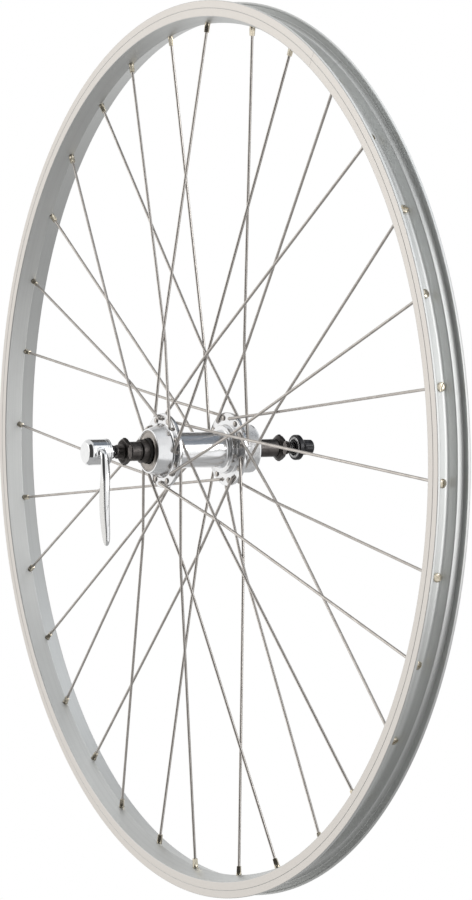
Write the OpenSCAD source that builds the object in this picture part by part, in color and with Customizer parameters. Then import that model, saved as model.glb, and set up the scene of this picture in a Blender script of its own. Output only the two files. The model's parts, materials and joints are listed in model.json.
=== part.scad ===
// Spoked rear bicycle wheel with a threaded hub and a quick release skewer.
// The axle lies along Y. The lever is on the left, at -Y, and the sprockets screw on at +Y.
// The origin is the wheel's centre, on the axle and in the middle plane of the rim.

/* [Rim] */
// Diameter of the shelf that the tyre's bead sits on
bead_seat_d = 622; // [559:1:635]
// Overall width of the rim
rim_w = 24.6; // [22:0.1:32]
// Height of the braking wall above the bead seat
lip_h = 6; // [5:0.5:9]
// Thickness of the braking wall
brake_wall_t = 1.6; // [1.2:0.1:2.2]
// How far the hook stands out from the top of the braking wall
hook_d = 0.6; // [0.3:0.1:1]
// Width between the two bead seats
well_top_w = 13; // [11:0.5:15]
// Width of the flat bottom of the well
well_bottom_w = 8; // [7:0.5:10]
// Depth of the well below the bead seat
well_h = 7; // [5:0.5:9]
// Thickness of the bed under the nipples
bed_t = 2.3; // [1.8:0.1:3.5]
// How much lower the middle of the underside is than its edges
underside_rise = 3.8; // [2:0.2:5]
// Thickness of the webs around the two side chambers
web_t = 1.2; // [1:0.1:1.5]
// Depth of the wear line turned in each braking wall
wear_line_depth = 0.25; // [0.1:0.05:0.4]
// Diameter of the valve hole
valve_hole_d = 6.5; // [6.5:0.1:8.5]
// Number of the spoke gap that holds the valve
valve_gap = 19; // [3:4:31]

/* [Spokes] */
// Number of spokes, half of them on each flange
spoke_count = 32; // [24:4:36]
// How many spokes of its own flange each spoke crosses
spoke_crosses = 3; // [2:1:3]
// Diameter of the spoke wire
spoke_d = 2; // [1.8:0.1:2.3]
// Direction of the first nipple, up from the front
first_nipple_a = 167.6; // [0:0.1:360]
// How far each nipple stands off the middle of the rim
nipple_stagger = 0.9; // [0:0.1:2]
// Diameter of the nipple's round shank
nipple_d = 3.9; // [3.6:0.1:4.4]
// Width of the nipple's square, across its flats
nipple_square = 3.2; // [3:0.05:3.5]
// Length of the nipple below its head
nipple_shank_l = 8.5; // [7:0.5:14]
// Diameter of the nipple's head
nipple_head_d = 6; // [5.5:0.1:7]
// Height of the nipple's head
nipple_head_h = 1.9; // [1.5:0.1:3]

/* [Hub shell] */
// Diameter of the flanges
flange_d = 53; // [50:0.5:70]
// Diameter of the circle of spoke holes
spoke_hole_pcd = 45; // [43:0.5:60]
// Thickness of the flanges
flange_t = 3; // [2.5:0.1:4]
// Place of the left flange's middle plane along the axle
left_flange_y = -32; // [-38:0.5:-28]
// Place of the right flange's middle plane along the axle
right_flange_y = 20.5; // [16:0.5:24]
// Diameter of the barrel between the flanges
barrel_d = 25.6; // [23:0.2:30]
// Wall of the barrel between the flanges
barrel_wall_t = 2.8; // [2:0.1:3.2]
// Place of the shell's left end along the axle
shell_left_y = -44.5; // [-48:0.5:-44]
// Place of the shell's right end along the axle
shell_right_y = 38.9; // [37:0.1:42]
// Wall of the left boss around the cup, at its end
boss_wall_t = 1.1; // [0.8:0.1:2]
// How much wider the left boss is at the flange than at its end
boss_taper = 6.8; // [2:0.2:8]
// Diameter of the bell behind the right flange
bell_d = 34.4; // [32:0.2:40]
// Diameter over the thread that takes the sprockets
freewheel_thread_d = 34.9; // [34:0.1:36]

/* [Bearings] */
// Diameter of the bearing balls
ball_d = 6.35; // [5.5:0.05:6.35]
// Number of balls on each side
ball_count = 9; // [7:1:9]
// Gap between neighbouring balls
ball_gap = 0.63; // [0.2:0.01:1]
// Distance of the balls' plane from the shell's end
ball_inset = 5; // [4.8:0.1:6]
// Wall of the pressed cups outside the balls
cup_wall_t = 1.08; // [0.8:0.02:1.3]
// Diameter of the cones outside the race
cone_d = 16.7; // [16:0.1:17]
// Radial gap between the dust caps and the cones
dust_gap = 0.85; // [0.5:0.05:1.2]

/* [Axle] */
// Diameter of the axle
axle_d = 10; // [9.5:0.5:10]
// Diameter of the hole through the axle
axle_bore_d = 5.5; // [5.4:0.1:6]
// Distance between the outer faces of the locknuts
over_locknuts = 130; // [124:1:135]
// How far the axle stands out of each locknut
axle_stub_l = 5.5; // [4.5:0.5:6]
// Size of the locknuts across their flats
locknut_af = 17; // [16:0.5:19]
// Length of the locknuts
locknut_l = 5; // [4:0.5:6]
// Diameter of the left spacer
left_spacer_d = 13.7; // [13:0.1:15]
// Diameter of the right spacer
right_spacer_d = 13; // [12.5:0.1:15]
// Place of the left cone's outer end along the axle
left_cone_end_y = -51.5; // [-53:0.5:-49]
// Thickness of the lock washers
lock_washer_t = 1.2; // [1:0.1:1.6]

/* [Quick release] */
// Diameter of the skewer rod
rod_d = 4.9; // [4.6:0.1:5]
// Diameter of the lever's housing
housing_d = 18.3; // [17.8:0.1:20]
// Length of the lever's housing
housing_l = 17.3; // [17:0.1:19]
// Gap between the left locknut's face and the housing
left_grip_gap = 12; // [10:0.5:14]
// Gap between the right locknut's face and the adjusting nut
right_grip_gap = 11; // [9:0.5:13]
// Distance of the cam's axis from the housing's inner face
cam_inset = 9; // [8.8:0.1:9.5]
// Diameter of the cam
cam_d = 6; // [5.8:0.1:6.2]
// How far the cam's centre is off its axis
cam_throw = 0.6; // [0.3:0.05:0.65]
// Diameter of the cam's journal under the lever
journal_d = 8; // [7:0.1:8.5]
// How far the lever reaches from the cam's axis
lever_l = 64.7; // [50:0.5:75]
// Width of the lever's blade
blade_w = 9; // [7:0.5:11]
// Thickness of the lever's blade
blade_t = 3.5; // [3:0.1:4.5]
// Diameter of the lever's neck
neck_d = 5.6; // [5:0.1:6.4]
// Diameter of the adjusting nut's flange
nut_flange_d = 18.6; // [18:0.1:21]
// Diameter of the adjusting nut's body
nut_body_d = 11; // [10:0.2:13]
// Length of the adjusting nut
nut_l = 14.6; // [13:0.2:18]
// Depth of the adjusting nut's recess
nut_recess_h = 3.4; // [2.6:0.2:4.2]
// Wire diameter of the two conical springs
spring_wire_d = 0.9; // [0.7:0.1:1.1]

/* [Fits] */
// Radial gap between a turning part and what it turns in
running_gap = 0.05; // [0.02:0.01:0.1]
// Gap that keeps two fixed pieces from sharing a face
seat_gap = 0.05; // [0.02:0.01:0.1]
// Radial gap around a spoke in the flange, and a nipple in the rim
drill_gap = 0.2; // [0.15:0.05:0.3]
// Gap between pieces that pass close to each other
pass_gap = 0.3; // [0.3:0.05:0.5]

/* [Hidden] */
$fn = 64;
spoke_names = [for (k = [1 : spoke_count]) str("spoke_", k < 10 ? "0" : "", k)];

// Rim radii, measured from the axle, and half widths
seat_r = bead_seat_d / 2;
lip_r = seat_r + lip_h;
well_r = seat_r - well_h;
ridge_r = well_r - bed_t;
edge_r = ridge_r + underside_rise;
half_w = rim_w / 2;
wall_in = half_w - brake_wall_t;
wear_line_r = seat_r + 0.4;
hook_h = 1.4;

// Spoke lacing
nipple_step = 360 / spoke_count;
hole_step = 2 * nipple_step;
lean_a = spoke_crosses * hole_step;
hole_r = spoke_hole_pcd / 2;
flange_hole_d = spoke_d + 2 * drill_gap;
head_d = 2.1 * spoke_d;
// The wire is a little thicker from its head to its elbow
stem_d = spoke_d + 0.2;
elbow_d = stem_d + 0.06;
head_h = 0.55 * spoke_d;
// Share of a spoke's length, from the hub, at which it meets its outermost crossing
cross_in = hole_r * sin(lean_a - nipple_step);
cross_share = cross_in / (cross_in + well_r * sin(nipple_step));
// Two spokes touch at that crossing, and each is bent there by a small knuckle.
knuckle_d = spoke_d + 0.1;
knuckle_trim = 0.1;
cross_offset = (knuckle_d + seat_gap) / 2;
valve_a = first_nipple_a - (valve_gap + 0.5) * nipple_step;

// Bearing places
ball_pcd = (ball_d + ball_gap) / sin(180 / ball_count);
cup_d = ball_pcd + ball_d + 2 * (cup_wall_t + running_gap);
dust_hole_d = cone_d + 2 * dust_gap;
left_ball_y = shell_left_y + ball_inset;
right_ball_y = shell_right_y - ball_inset;
race_r = ball_d / 2 + running_gap;
ball_r = ball_pcd / 2;
cap_recess = 0.3;
cap_t = ball_inset - cap_recess - race_r - 0.1;
cup_lip_r = ball_r - 0.6;
cup_behind = race_r + 0.8;
cone_in_l = 1.6;

// Axle places
locknut_face = over_locknuts / 2;
axle_end = locknut_face + axle_stub_l;
right_cone_end_y = shell_right_y - 0.2;
seal_t = 1.8;

// Quick release places
housing_in_y = -locknut_face - left_grip_gap;
housing_out_y = housing_in_y - housing_l;
cam_y = housing_in_y - cam_inset;
cavity_r = 5.6;
cavity_h = cam_inset + 5.6;
spring_seat_r = 7.4;
spring_seat_h = 2.5;
rod_travel = 2 * cam_throw;
eye_x = 4.8;
eye_z = 9.8;
// The cam's sideways lag behind a rod that moves in proportion to the lever
cam_lag = 0.22 * cam_throw;
lever_x = housing_d / 2 + pass_gap;
neck_bend = 4.5;
nut_face_y = locknut_face + right_grip_gap;
nut_floor_y = nut_face_y + nut_recess_h;
nut_end_y = nut_face_y + nut_l;
rod_end_y = nut_end_y - 1.6;

// Turns a profile drawn as [radius, place along the axle] around the axle.
module turned(points, fn = 96) {
    rotate([-90, 0, 0])
        rotate_extrude($fn = fn)
            polygon(points);
}

// A plain tube or disc around the axle, from y0 to y1.
module ring(r_out, r_in, y0, y1) {
    turned([[r_in, y0], [r_out, y0], [r_out, y1], [r_in, y1]]);
}

// A round bar from point p to point q.
module bar(p, q, d) {
    v = q - p;
    translate(p)
        rotate([0, acos(v.z / norm(v)), atan2(v.y, v.x)])
            cylinder(d = d, h = norm(v), $fn = 32);
}

// Points of a round stretch of an outline.
function arc(c, r, a0, a1, steps = 8) =
    [for (i = [0 : steps]) c + r * [cos(a0 + (a1 - a0) * i / steps), sin(a0 + (a1 - a0) * i / steps)]];

// A convex outline with every side moved inwards by t. The outline runs anticlockwise.
function side_dir(p, i) = let (v = p[(i + 1) % len(p)] - p[i]) v / norm(v);
function inset(p, t) = [
    for (i = [0 : len(p) - 1])
        let (a = side_dir(p, (i + len(p) - 1) % len(p)), b = side_dir(p, i))
        p[i] + t * (b - a) / (a.x * b.y - a.y * b.x)
];

// ---------------------------------------------------------------- rim

function under_r(y) = ridge_r + underside_rise * y / half_w;

half_outline = [
    [ridge_r, 0],
    [edge_r, half_w],
    [wear_line_r - wear_line_depth, half_w],
    [wear_line_r, half_w - wear_line_depth],
    [wear_line_r + wear_line_depth, half_w],
    [lip_r, half_w],
    [lip_r, wall_in - hook_d],
    [lip_r - hook_h, wall_in - hook_d],
    [lip_r - hook_h - hook_d, wall_in],
    [seat_r, wall_in],
    [seat_r, well_top_w / 2],
    [well_r, well_bottom_w / 2]
];

// The solid corner on one side, before its chamber is taken out. It starts where the well's slope,
// carried on, meets the underside.
well_slope = 2 * well_h / (well_top_w - well_bottom_w);
toe_y = (well_slope * well_bottom_w / 2 - bed_t) / (well_slope - underside_rise / half_w);
side_block = [
    [under_r(toe_y), toe_y],
    [seat_r, well_top_w / 2],
    [seat_r, half_w],
    [edge_r, half_w]
];

function mirrored(points) = [for (i = [len(points) - 1 : -1 : 0]) [points[i].x, -points[i].y]];

module rim() {
    chamber = inset(mirrored(side_block), web_t);
    color([0.78, 0.78, 0.78])
        difference() {
            turned(concat(half_outline, mirrored(half_outline)), 180);
            turned(chamber, 180);
            turned(mirrored(chamber), 180);
            for (k = [0 : spoke_count - 1])
                bar(along(k, -nipple_shank_l), along(k, well_h), nipple_d + 2 * drill_gap);
            rotate([0, -valve_a, 0])
                translate([ridge_r - 1, 0, 0])
                    rotate([0, 90, 0])
                        cylinder(d = valve_hole_d, h = bed_t + well_h);
        }
}

// ---------------------------------------------------------------- spokes

// Spoke k: even spokes go to the right flange, odd ones to the left. Of four neighbours, the first
// two lean back and lie outside their flange, and the next two lean forward and lie inside it.
function side(k) = k % 2 == 0 ? 1 : -1;
function lies_outside(k) = k % 4 < 2;
function nipple_a(k) = first_nipple_a - k * nipple_step;
function hole_a(k) = nipple_a(k) + (lies_outside(k) ? -lean_a : lean_a);
function flange_y(k) = side(k) > 0 ? right_flange_y : left_flange_y;
function at(r, a, y) = [r * cos(a), y, r * sin(a)];

// An outside spoke is lifted so that it passes over the edge of its flange.
edge_run = sqrt(pow(flange_d / 2, 2) - pow(hole_r * sin(lean_a), 2)) - hole_r * cos(lean_a);
cross_run = cross_share * norm([well_r - hole_r * cos(lean_a), hole_r * sin(lean_a)]);
function mid_y(k) = flange_y(k) * (1 - cross_share) + side(k) * nipple_stagger * cross_share;
function cross_y(k) = mid_y(k) + side(k) * (lies_outside(k) ? -cross_offset : cross_offset);
function rest_y(k) = flange_t / 2 + elbow_d / 2 + seat_gap;
function over_edge(k) =
    let (fall = abs(flange_y(k)) + rest_y(k) - abs(cross_y(k)))
    fall * edge_run / (cross_run - edge_run);
function elbow_out(k) = lies_outside(k) ? rest_y(k) + over_edge(k) : -rest_y(k);
function elbow(k) = at(hole_r, hole_a(k), flange_y(k) + side(k) * elbow_out(k));
function seat(k) = at(well_r, nipple_a(k), side(k) * nipple_stagger);
function crossing(k) =
    let (p = elbow(k) * (1 - cross_share) + seat(k) * cross_share)
    [p.x, cross_y(k), p.z];
function dir(p, q) = (q - p) / norm(q - p);
function end_dir(k) = dir(crossing(k), seat(k));
// The point on the last stretch of spoke k at distance s beyond the floor of the well
function along(k, s) = seat(k) + s * end_dir(k);

// A ball at point p. Its poles lie along Y and its seam is turned away from direction a.
module ball(p, d, a) {
    translate(p)
        rotate([-90, 90 - a, 0])
            sphere(d = d, $fn = 32);
}

module spoke(k) {
    out = lies_outside(k) ? side(k) : -side(k);
    face = flange_y(k) - out * (flange_t / 2 + seat_gap);
    color([0.72, 0.69, 0.65]) {
        bar(at(hole_r, hole_a(k), face - out * head_h), at(hole_r, hole_a(k), face), head_d);
        bar(at(hole_r, hole_a(k), face), elbow(k), stem_d);
        ball(elbow(k), elbow_d, nipple_a(k));
        bar(elbow(k), crossing(k) - knuckle_trim * dir(elbow(k), crossing(k)), spoke_d);
        ball(crossing(k), knuckle_d, nipple_a(k));
        bar(crossing(k) + knuckle_trim * end_dir(k), seat(k), spoke_d);
    }
}

module nipple(k) {
    v = end_dir(k);
    turn = [0, acos(v.z), atan2(v.y, v.x)];
    square_l = nipple_shank_l - bed_t - 0.6;
    seat_h = (nipple_head_d - nipple_d) / 2;
    difference() {
        translate(seat(k))
            rotate(turn)
                union() {
                    translate([0, 0, seat_gap])
                        cylinder(d1 = nipple_d, d2 = nipple_head_d, h = seat_h);
                    translate([0, 0, seat_gap + seat_h])
                        cylinder(d = nipple_head_d, h = nipple_head_h - seat_h);
                    translate([0, 0, -nipple_shank_l + square_l])
                        cylinder(d = nipple_d, h = nipple_shank_l - square_l + seat_gap);
                    translate([0, 0, -nipple_shank_l / 2 - (nipple_shank_l - square_l) / 2])
                        cube([nipple_square, nipple_square, square_l], center = true);
                }
        bar(along(k, -nipple_shank_l - 1), along(k, seat_gap), spoke_d + 2 * seat_gap);
    }
}

module nipples(right) {
    color([0.74, 0.70, 0.60])
        for (k = [right ? 0 : 1 : 2 : spoke_count - 1])
            nipple(k);
}

// ---------------------------------------------------------------- hub

module hub_shell() {
    barrel_r = barrel_d / 2;
    boss_end_r = cup_d / 2 + seat_gap + boss_wall_t;
    left_in = left_flange_y + flange_t / 2;
    left_out = left_flange_y - flange_t / 2;
    right_in = right_flange_y - flange_t / 2;
    right_out = right_flange_y + flange_t / 2;
    edge = 0.8;
    root_r = 5;
    bell_l = 4.4;
    groove = 0.8;
    outside = concat(
        [[boss_end_r - 0.5, shell_left_y], [boss_end_r, shell_left_y + 0.5]],
        [[boss_end_r + boss_taper / 2, left_out], [flange_d / 2 - edge, left_out]],
        [[flange_d / 2, left_out + edge], [flange_d / 2, left_in - edge]],
        [[flange_d / 2 - edge, left_in], [barrel_r + root_r, left_in]],
        arc([barrel_r + root_r, left_in + root_r], root_r, 270, 180),
        arc([barrel_r + bell_l, right_in - 2 * bell_l], bell_l, 180, 90),
        [[bell_d / 2, right_in - bell_l], [bell_d / 2, right_in]],
        [[flange_d / 2 - edge, right_in], [flange_d / 2, right_in + edge]],
        [[flange_d / 2, right_out - edge], [flange_d / 2 - edge, right_out]],
        [[freewheel_thread_d / 2 - groove, right_out]],
        [[freewheel_thread_d / 2 - groove, right_out + 1.5]],
        [[freewheel_thread_d / 2, right_out + 1.5 + groove]],
        [[freewheel_thread_d / 2, shell_right_y - groove]],
        [[freewheel_thread_d / 2 - groove, shell_right_y]]
    );
    bore = [[0, shell_right_y], [0, shell_left_y]];
    color([0.82, 0.83, 0.84])
        difference() {
            turned(concat(outside, bore));
            ring(barrel_r - barrel_wall_t, 0, shell_left_y - 1, shell_right_y + 1);
            ring(cup_d / 2 + seat_gap, 0, shell_left_y - 1, left_ball_y + cup_behind);
            ring(cup_d / 2 + seat_gap, 0, right_ball_y - cup_behind, shell_right_y + 1);
            for (k = [0 : spoke_count - 1])
                translate(at(hole_r, hole_a(k), flange_y(k) - flange_t))
                    rotate([-90, 0, 0])
                        cylinder(d = flange_hole_d, h = 2 * flange_t, $fn = 24);
        }
}

// A bearing cup. out is the direction from the ball plane to the shell's end.
module cup(y, out) {
    depth = ball_inset - cap_recess - cap_t - seat_gap;
    back = cup_behind - seat_gap;
    color([0.45, 0.45, 0.47])
        translate([0, y, 0])
            scale([1, out, 1])
                difference() {
                    ring(cup_d / 2, cup_lip_r, -back, depth);
                    turned(arc([ball_r, 0], race_r, 0, 360, 48));
                    ring(ball_r + race_r, 0, 0, depth + 1);
                }
}

module dust_cap(y, out) {
    color([0.62, 0.60, 0.56])
        translate([0, y, 0])
            scale([1, out, 1])
                ring(cup_d / 2, dust_hole_d / 2, -cap_recess - cap_t, -cap_recess);
}

module balls(y) {
    color([0.8, 0.8, 0.82])
        for (i = [0 : ball_count - 1])
            translate(at(ball_r, i * 360 / ball_count, y))
                sphere(d = ball_d, $fn = 32);
}

// ---------------------------------------------------------------- axle

module axle() {
    color([0.25, 0.24, 0.24])
        ring(axle_d / 2, axle_bore_d / 2, -axle_end, axle_end);
}

// A cone from its race out to y_end, drawn with out pointing away from the wheel's middle.
module cone(y, y_end, out) {
    bore_r = axle_d / 2 + seat_gap;
    end_l = abs(y_end - y);
    color([0.27, 0.26, 0.26])
        translate([0, y, 0])
            scale([1, out, 1])
                difference() {
                    union() {
                        ring(cone_d / 2, bore_r, 0, end_l);
                        ring(ball_r - race_r, bore_r, -cone_in_l, 0.1);
                    }
                    turned(arc([ball_r, 0], race_r, 0, 360, 48));
                }
}

module axle_ring(d, y0, y1, shade = 0.26) {
    color([shade, shade, shade])
        ring(d / 2, axle_d / 2 + seat_gap, y0 + seat_gap / 2, y1 - seat_gap / 2);
}

module locknut(out) {
    flare_l = 1.6;
    hex_l = locknut_l - flare_l;
    corner_r = locknut_af / sqrt(3);
    color([0.22, 0.21, 0.21])
        translate([0, out * (locknut_face - locknut_l), 0])
            scale([1, out, 1])
                difference() {
                    union() {
                        turned([[0, 0], [axle_d / 2 + 2, 0], [locknut_af / 2, flare_l], [0, flare_l]]);
                        intersection() {
                            translate([0, flare_l, 0])
                                rotate([-90, 0, 0])
                                    cylinder(r = corner_r, h = hex_l, $fn = 6);
                            turned([
                                [0, flare_l], [corner_r, flare_l],
                                [corner_r, locknut_l - 1], [locknut_af / 2, locknut_l], [0, locknut_l]
                            ]);
                        }
                    }
                    ring(axle_d / 2 + seat_gap, 0, -1, locknut_l + 1);
                }
}

module cone_seals() {
    color([0.1, 0.1, 0.1])
        ring(dust_hole_d / 2 - pass_gap / 2, cone_d / 2, shell_left_y - pass_gap - seal_t,
             shell_left_y - pass_gap);
}

// ---------------------------------------------------------------- quick release

module skewer_rod() {
    slot_y = cam_d + 2 * (cam_lag + 2 * running_gap);
    slot_top = cam_d / 2 + cam_throw + 2 * running_gap;
    slot_bottom = cam_d / 2 + 2 * running_gap;
    wall = 1.3;
    eye_y0 = cam_y - cam_throw - slot_y / 2 - wall;
    eye_y1 = cam_y - cam_throw + slot_y / 2 + wall;
    color([0.6, 0.6, 0.62]) {
        bar([0, eye_y1 - seat_gap, 0], [0, rod_end_y, 0], rod_d);
        difference() {
            translate([-eye_x / 2, eye_y0, -eye_z / 2])
                cube([eye_x, eye_y1 - eye_y0, eye_z]);
            translate([-eye_x, cam_y - cam_throw - slot_y / 2, -slot_bottom])
                cube([2 * eye_x, slot_y, slot_bottom + slot_top]);
        }
    }
}

module lever_housing() {
    round_r = 2.2;
    color([0.86, 0.87, 0.88])
        difference() {
            turned(concat(
                [[0, housing_in_y - 1.2], [0, housing_out_y]],
                arc([housing_d / 2 - round_r, housing_out_y + round_r], round_r, 270, 360),
                [[housing_d / 2, housing_in_y - 1.2]]
            ));
            ring(cavity_r, 0, housing_in_y - cavity_h, housing_in_y);
            ring(spring_seat_r, 0, housing_in_y - spring_seat_h, housing_in_y);
            bar([0, cam_y, 0], [housing_d, cam_y, 0], journal_d + 2 * running_gap);
            bar([0, cam_y, 0], [-housing_d / 2 + 1.2, cam_y, 0], pivot_d + 2 * running_gap);
        }
}

module lever_clamp_ring() {
    color([0.8, 0.8, 0.8])
        ring(housing_d / 2 + 0.25, spring_seat_r, housing_in_y - 1.2 + seat_gap, housing_in_y);
}

pivot_d = cam_d - 2 * cam_throw - 0.4;

// The lever, its neck and its cam shaft are one forging. The blade hangs down when closed.
module lever() {
    neck_x = lever_x + neck_bend;
    cam_w = eye_x + 0.6;
    blade_top = 9;
    top_w = neck_d - 1;
    tip_r = blade_w / 2;
    outline = concat(
        [[neck_x + top_w / 2, -blade_top], [neck_x + blade_w / 2, -blade_top - 18]],
        arc([neck_x, -lever_l + tip_r], tip_r, 0, -180, 16),
        [[neck_x - blade_w / 2, -blade_top - 18], [neck_x - top_w / 2, -blade_top]]
    );
    color([0.84, 0.85, 0.86]) {
        bar([-housing_d / 2 + 1.4, cam_y, 0], [-cam_w / 2, cam_y, 0], pivot_d);
        bar([-cam_w / 2, cam_y - cam_throw, 0], [cam_w / 2, cam_y - cam_throw, 0], cam_d);
        bar([cam_w / 2, cam_y, 0], [lever_x - pass_gap / 2, cam_y, 0], journal_d);
        bar([lever_x - pass_gap / 2, cam_y, 0], [lever_x, cam_y, 0], neck_d);
        translate([lever_x, cam_y, -neck_bend])
            rotate([90, 0, 0])
                rotate_extrude(angle = 90, $fn = 64)
                    translate([neck_bend, 0])
                        circle(d = neck_d, $fn = 32);
        bar([neck_x, cam_y, -neck_bend], [neck_x, cam_y, -blade_top - 8], neck_d);
        translate([0, cam_y + blade_t / 2, 0])
            rotate([90, 0, 0])
                linear_extrude(height = blade_t)
                    polygon(outline);
    }
}

module adjusting_nut() {
    flange_r = nut_flange_d / 2;
    body_r = nut_body_d / 2;
    hollow_r = 2.5;
    nut_floor_t = 1.4;
    outside = concat(
        [[0, nut_face_y], [flange_r - 1, nut_face_y], [flange_r, nut_face_y + 1]],
        [[flange_r, nut_floor_y]],
        arc([body_r + hollow_r, nut_floor_y + nut_floor_t + hollow_r], hollow_r, 270, 180),
        [[body_r, nut_end_y - 1], [body_r - 1, nut_end_y], [0, nut_end_y]]
    );
    color([0.07, 0.07, 0.07])
        difference() {
            turned(outside);
            ring(ring_in_r, 0, nut_face_y - 1, nut_floor_y);
            ring(ring_out_r + seat_gap, 0, nut_face_y - 1, nut_face_y + ring_t);
            ring(rod_d / 2 + running_gap, 0, nut_face_y, nut_end_y + 1);
        }
}

ring_in_r = 6.1;
ring_out_r = 7.6;
ring_t = 1.5;

module nut_clamp_ring() {
    color([0.85, 0.85, 0.85])
        ring(ring_out_r, ring_in_r, nut_face_y - 0.3, nut_face_y + ring_t - seat_gap);
}

// A conical coil spring around the axle, from radius r0 at y0 to radius r1 at y1.
module cone_spring(r0, y0, r1, y1) {
    turns = 3.5;
    per_turn = 20;
    sides = 8;
    count = turns * per_turn;
    rings = [
        for (i = [0 : count])
            let (s = i / count, a = 360 * turns * s, r = r0 + (r1 - r0) * s, y = y0 + (y1 - y0) * s)
            [for (j = [0 : sides - 1])
                at(r + spring_wire_d / 2 * cos(360 * j / sides), a,
                   y + spring_wire_d / 2 * sin(360 * j / sides))]
    ];
    points = [for (each_ring = rings) for (p = each_ring) p];
    walls = [
        for (i = [0 : count - 1])
            for (j = [0 : sides - 1])
                let (n = (j + 1) % sides)
                [i * sides + j, i * sides + n, (i + 1) * sides + n, (i + 1) * sides + j]
    ];
    start = [for (j = [sides - 1 : -1 : 0]) j];
    finish = [for (j = [0 : sides - 1]) count * sides + j];
    color([0.3, 0.3, 0.3])
        polyhedron(points, concat(walls, [start, finish]));
}

spring_small_r = 3.7;
spring_clear = spring_wire_d / 2 + seat_gap;

module left_spring() {
    cone_spring(
        spring_small_r, -axle_end - spring_clear,
        spring_seat_r - spring_wire_d / 2 - pass_gap, housing_in_y - spring_seat_h + spring_clear
    );
}

module right_spring() {
    cone_spring(
        spring_small_r, axle_end + spring_clear,
        ring_in_r - spring_wire_d / 2 - pass_gap, nut_floor_y - spring_clear
    );
}

// ---------------------------------------------------------------- nodes

left_nut_in_y = -locknut_face + locknut_l;
right_nut_in_y = locknut_face - locknut_l;
left_washer_y = left_cone_end_y - lock_washer_t;
right_washer_y = right_cone_end_y + lock_washer_t;
washer_d = axle_d + 3.4;

rim();
nipples(false);  // nipples_left
nipples(true);  // nipples_right
for (k = [0 : spoke_count - 1])
    spoke(k);
hub_shell();
cup(left_ball_y, -1);  // left_cup
cup(right_ball_y, 1);  // right_cup
dust_cap(shell_left_y, -1);  // left_dust_cap
dust_cap(shell_right_y, 1);  // right_dust_cap
balls(left_ball_y);  // left_balls
balls(right_ball_y);  // right_balls
axle();
cone(left_ball_y, left_cone_end_y, -1);  // left_cone
cone(right_ball_y, right_cone_end_y, 1);  // right_cone
axle_ring(washer_d, left_washer_y, left_cone_end_y);  // left_lock_washer
axle_ring(washer_d, right_cone_end_y, right_washer_y);  // right_lock_washer
axle_ring(left_spacer_d, left_nut_in_y, left_washer_y);  // left_spacer
axle_ring(right_spacer_d, right_washer_y, right_nut_in_y);  // right_spacer
locknut(-1);  // left_locknut
locknut(1);  // right_locknut
cone_seals();
skewer_rod();
lever_housing();
lever_clamp_ring();
lever();
left_spring();
adjusting_nut();
nut_clamp_ring();
right_spring();
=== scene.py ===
import json
from math import acos, cos, pi, radians, sin, sqrt, tan

import bmesh
import bpy
from mathutils import Matrix, Vector


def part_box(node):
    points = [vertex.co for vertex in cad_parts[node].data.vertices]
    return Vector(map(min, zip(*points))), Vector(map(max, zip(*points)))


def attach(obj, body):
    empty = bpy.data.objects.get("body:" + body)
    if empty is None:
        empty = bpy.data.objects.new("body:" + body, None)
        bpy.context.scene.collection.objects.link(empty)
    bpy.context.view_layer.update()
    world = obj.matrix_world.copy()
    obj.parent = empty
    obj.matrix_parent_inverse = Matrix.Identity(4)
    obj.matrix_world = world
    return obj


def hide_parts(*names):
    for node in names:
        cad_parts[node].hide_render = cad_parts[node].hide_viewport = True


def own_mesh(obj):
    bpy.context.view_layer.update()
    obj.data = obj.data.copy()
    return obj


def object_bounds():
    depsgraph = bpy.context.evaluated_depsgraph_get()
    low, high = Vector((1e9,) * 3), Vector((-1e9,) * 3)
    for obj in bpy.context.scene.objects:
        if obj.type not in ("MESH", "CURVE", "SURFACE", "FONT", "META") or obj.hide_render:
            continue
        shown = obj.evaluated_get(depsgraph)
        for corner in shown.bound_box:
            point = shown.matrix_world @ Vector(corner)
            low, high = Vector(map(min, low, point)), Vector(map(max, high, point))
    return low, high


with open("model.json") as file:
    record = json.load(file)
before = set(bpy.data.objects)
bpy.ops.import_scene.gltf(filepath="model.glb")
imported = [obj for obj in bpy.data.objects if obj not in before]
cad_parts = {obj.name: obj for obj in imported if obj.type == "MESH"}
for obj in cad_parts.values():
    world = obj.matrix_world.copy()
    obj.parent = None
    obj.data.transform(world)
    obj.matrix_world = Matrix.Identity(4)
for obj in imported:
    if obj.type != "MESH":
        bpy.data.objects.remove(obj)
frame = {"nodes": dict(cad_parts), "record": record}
CAD_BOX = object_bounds()
MM = 0.001


def span(node):
    """Lowest and highest place of a node along the axle, in millimetres."""
    low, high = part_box(node)
    return low.y / MM, high.y / MM


# ------------------------------------------------------------------ camera and stage


def make_camera():
    """Looks at the wheel from its lever side, with the axle running away to the right."""
    azimuth, elevation, roll = radians(60.094), radians(3.025), radians(0.322)
    # Aimed this many millimetres beside the wheel's centre, from a distance in metres.
    aim_right, aim_down, distance = 23.65, 0.26, 1.9558
    back = Vector((sin(azimuth) * cos(elevation), -cos(azimuth) * cos(elevation), sin(elevation)))
    right = (-back).cross(Vector((0, 0, 1))).normalized()
    up = right.cross(-back)
    right, up = right * cos(roll) + up * sin(roll), up * cos(roll) - right * sin(roll)
    target = right * aim_right * MM - up * aim_down * MM
    facing = Matrix((right, up, back)).transposed().to_4x4()
    data = bpy.data.cameras.new("camera")
    data.sensor_width = 36
    data.lens = 109.5
    data.clip_end = 100
    camera = bpy.data.objects.new("camera", data)
    camera.matrix_world = Matrix.Translation(target + back * distance) @ facing
    bpy.context.scene.collection.objects.link(camera)
    bpy.context.scene.camera = camera


def only_for_camera(stage):
    """Keeps a piece of the stage from lighting or shading the wheel."""
    stage.visible_diffuse = False
    stage.visible_glossy = False
    stage.visible_transmission = False
    stage.visible_shadow = False


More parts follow.
